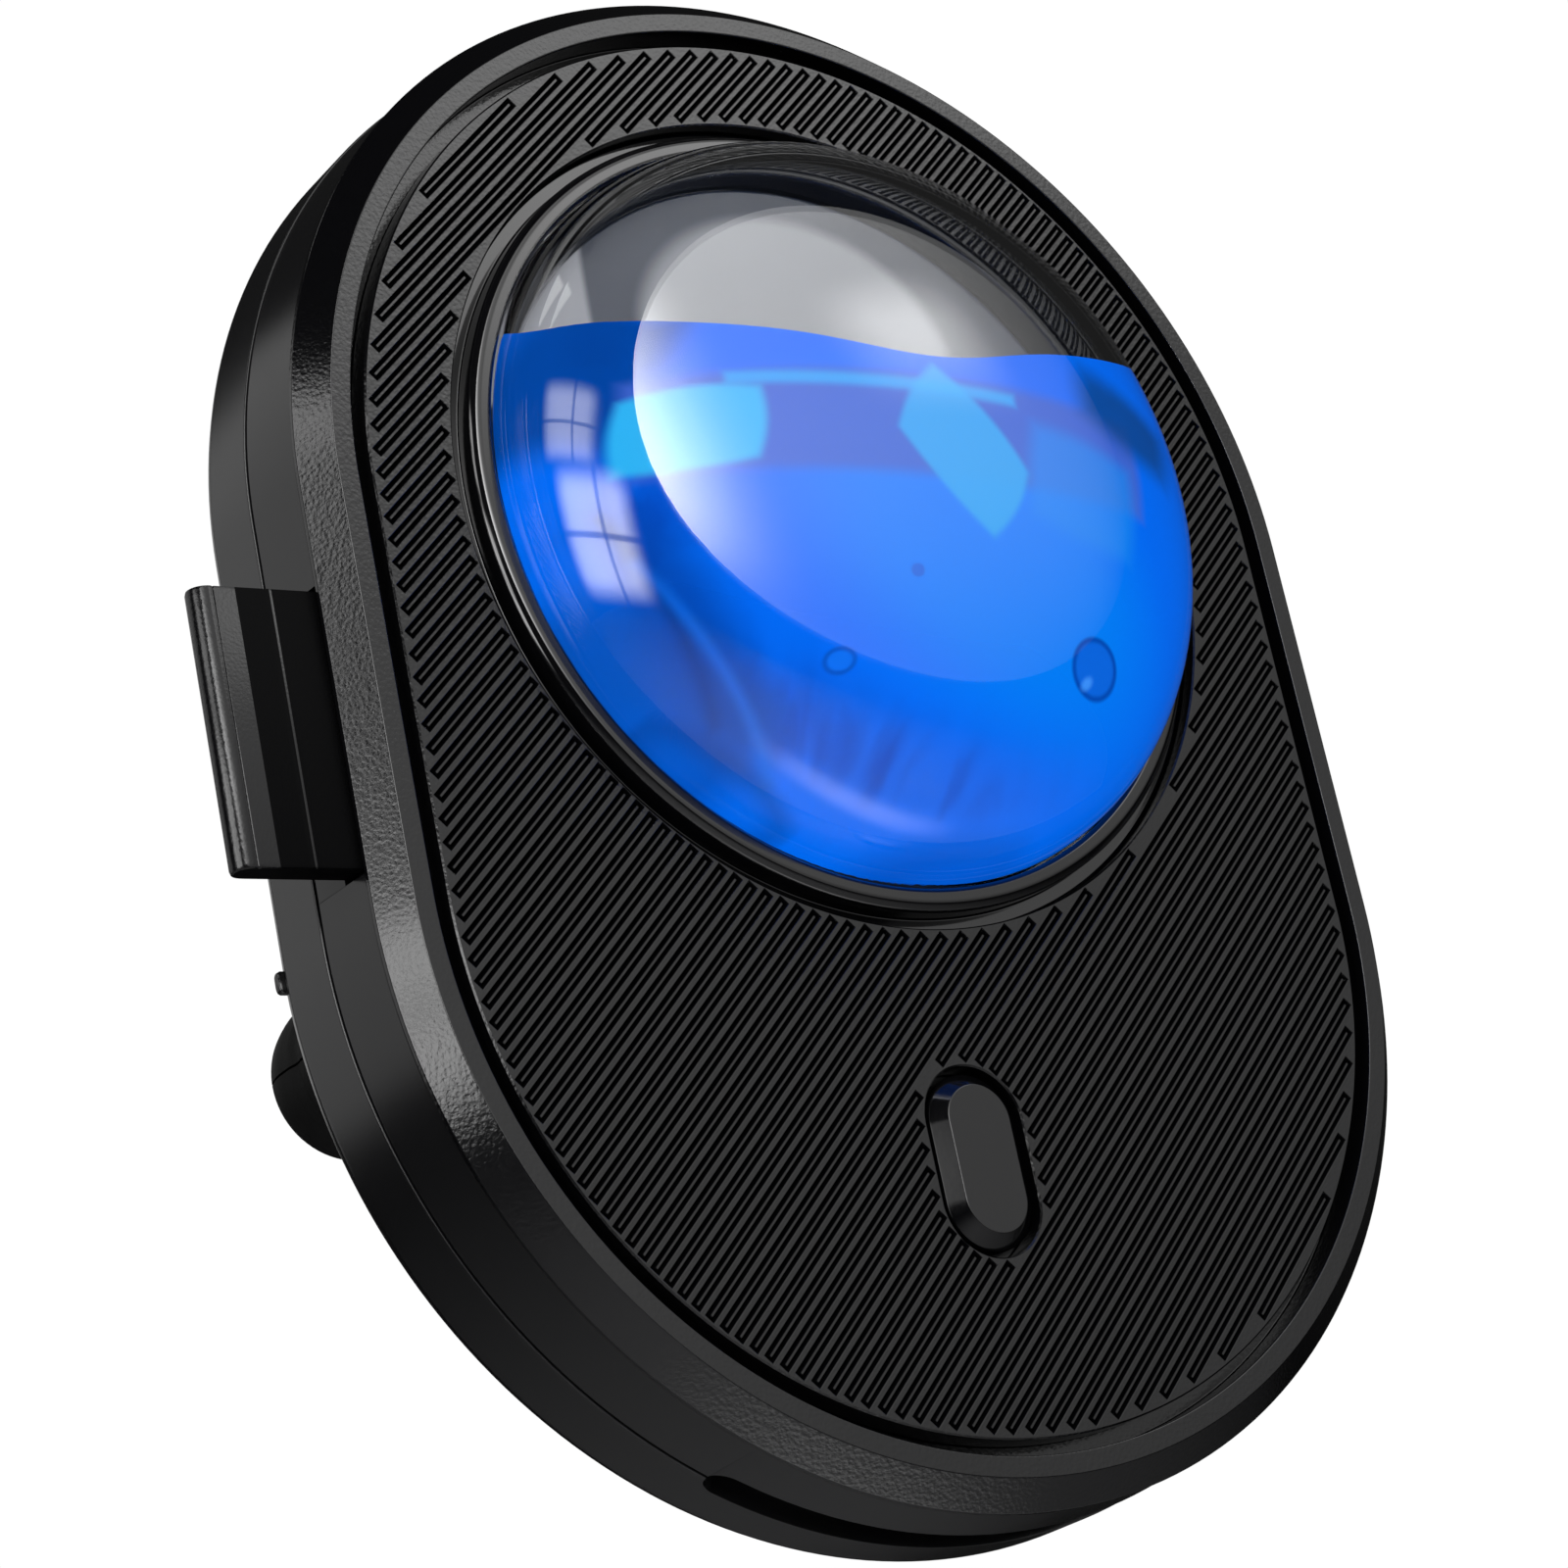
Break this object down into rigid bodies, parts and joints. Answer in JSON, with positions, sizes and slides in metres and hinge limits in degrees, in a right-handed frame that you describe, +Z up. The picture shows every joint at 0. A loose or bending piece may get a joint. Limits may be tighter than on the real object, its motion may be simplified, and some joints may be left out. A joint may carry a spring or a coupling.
{
  "type": "radar detector",
  "caption": "Oval in-car radar detector: ribbed black face, clear dome of blue liquid, oblong button, side card tray, and a ball-jointed air-vent clip behind.",
  "frame": {"origin": "middle of the vent clip's grip, on the clip's axis", "axes": "+Z up, -Y towards the face with the dome and button, +X to the right of a viewer facing it"},
  "size_m": [0.0834, 0.0899, 0.102],
  "materials": {
    "satin_black": "satin moulded",
    "grained_black": "fine spark-eroded grain",
    "gloss_black": "gloss",
    "inner_black": "matt",
    "clear_lens": "clear polished",
    "blue_liquid": "dyed liquid",
    "smoke_base": "smoked, half gloss",
    "milky_guide": "diffusing",
    "led_lens": "clear resin",
    "black_rubber": "matt",
    "board_green": "solder mask",
    "bright_steel": "plated",
    "nickel": "nickel plated",
    "foil_wrap": "foil pouch",
    "pale_ceramic": "fired",
    "red_window": "infrared-clear",
    "mesh_cloth": "acoustic mesh",
    "card_black": "moulded"
  },
  "bodies": {
    "clip": {"clip_core": "satin_black", "prong_pad_1": "black_rubber", "prong_pad_2": "black_rubber", "prong_pad_3": "black_rubber", "prong_pad_4": "black_rubber"},
    "stud": {"ball_stud": "satin_black", "swivel_screw": "bright_steel"},
    "seat": {"ball_seat": "black_rubber"},
    "head": {"front_bezel": "grained_black", "mid_shell": "satin_black", "rear_shell": "satin_black", "rib_panel": "satin_black", "dome_ring": "gloss_black", "dome_lens": "clear_lens", "blue_liquid": "blue_liquid", "dome_base": "smoke_base", "dome_gasket": "black_rubber", "fill_plug": "black_rubber", "light_guide": "milky_guide", "alert_led_1": "led_lens", "alert_led_2": "led_lens", "alert_led_3": "led_lens", "alert_led_4": "led_lens", "button_switch": "bright_steel", "inner_frame": "inner_black", "main_board": "board_green", "case_screw_1": "bright_steel", "case_screw_2": "bright_steel", "case_screw_3": "bright_steel", "case_screw_4": "bright_steel", "horn_antenna": "nickel", "battery": "foil_wrap", "gps_antenna": "pale_ceramic", "laser_sensor": "inner_black", "laser_window": "red_window", "processor_can": "bright_steel", "speaker_cone": "mesh_cloth", "speaker_magnet": "bright_steel", "usb_shell": "nickel", "usb_tongue": "inner_black", "sound_mesh_left": "mesh_cloth", "sound_mesh_right": "mesh_cloth", "card_reader": "bright_steel", "ball_socket": "satin_black", "socket_screw_1": "bright_steel", "socket_screw_2": "bright_steel", "socket_screw_3": "bright_steel"},
    "button": {"power_button": "satin_black"},
    "tray": {"card_tray": "gloss_black", "memory_card": "card_black"},
    "nut": {"ring_nut": "satin_black"}
  },
  "joints": [
    {"name": "mount_roll", "type": "hinge", "parent": "clip", "child": "stud", "pos_m": [0, -0.037, 0], "axis": [0, 1, 0], "continuous": true},
    {"name": "mount_tilt", "type": "hinge", "parent": "stud", "child": "seat", "pos_m": [0, -0.037, 0], "axis": [1, 0, 0], "range_deg": [-15, 15]},
    {"name": "mount_pan", "type": "hinge", "parent": "seat", "child": "head", "pos_m": [0, -0.037, 0], "axis": [0, 0, 1], "range_deg": [-15, 15]},
    {"name": "button_press", "type": "slide", "parent": "head", "child": "button", "axis": [0, 1, 0], "range_m": [0, 0.0004], "stiffness_N_per_m": 800, "springref_m": -0.0005},
    {"name": "tray_slide", "type": "slide", "parent": "head", "child": "tray", "axis": [-1, 0, 0], "range_m": [0, 0.009]},
    {"name": "nut_turn", "type": "hinge", "parent": "head", "child": "nut", "pos_m": [0, -0.037, 0], "axis": [0, 1, 0], "range_deg": [0, 180]}
  ]
}
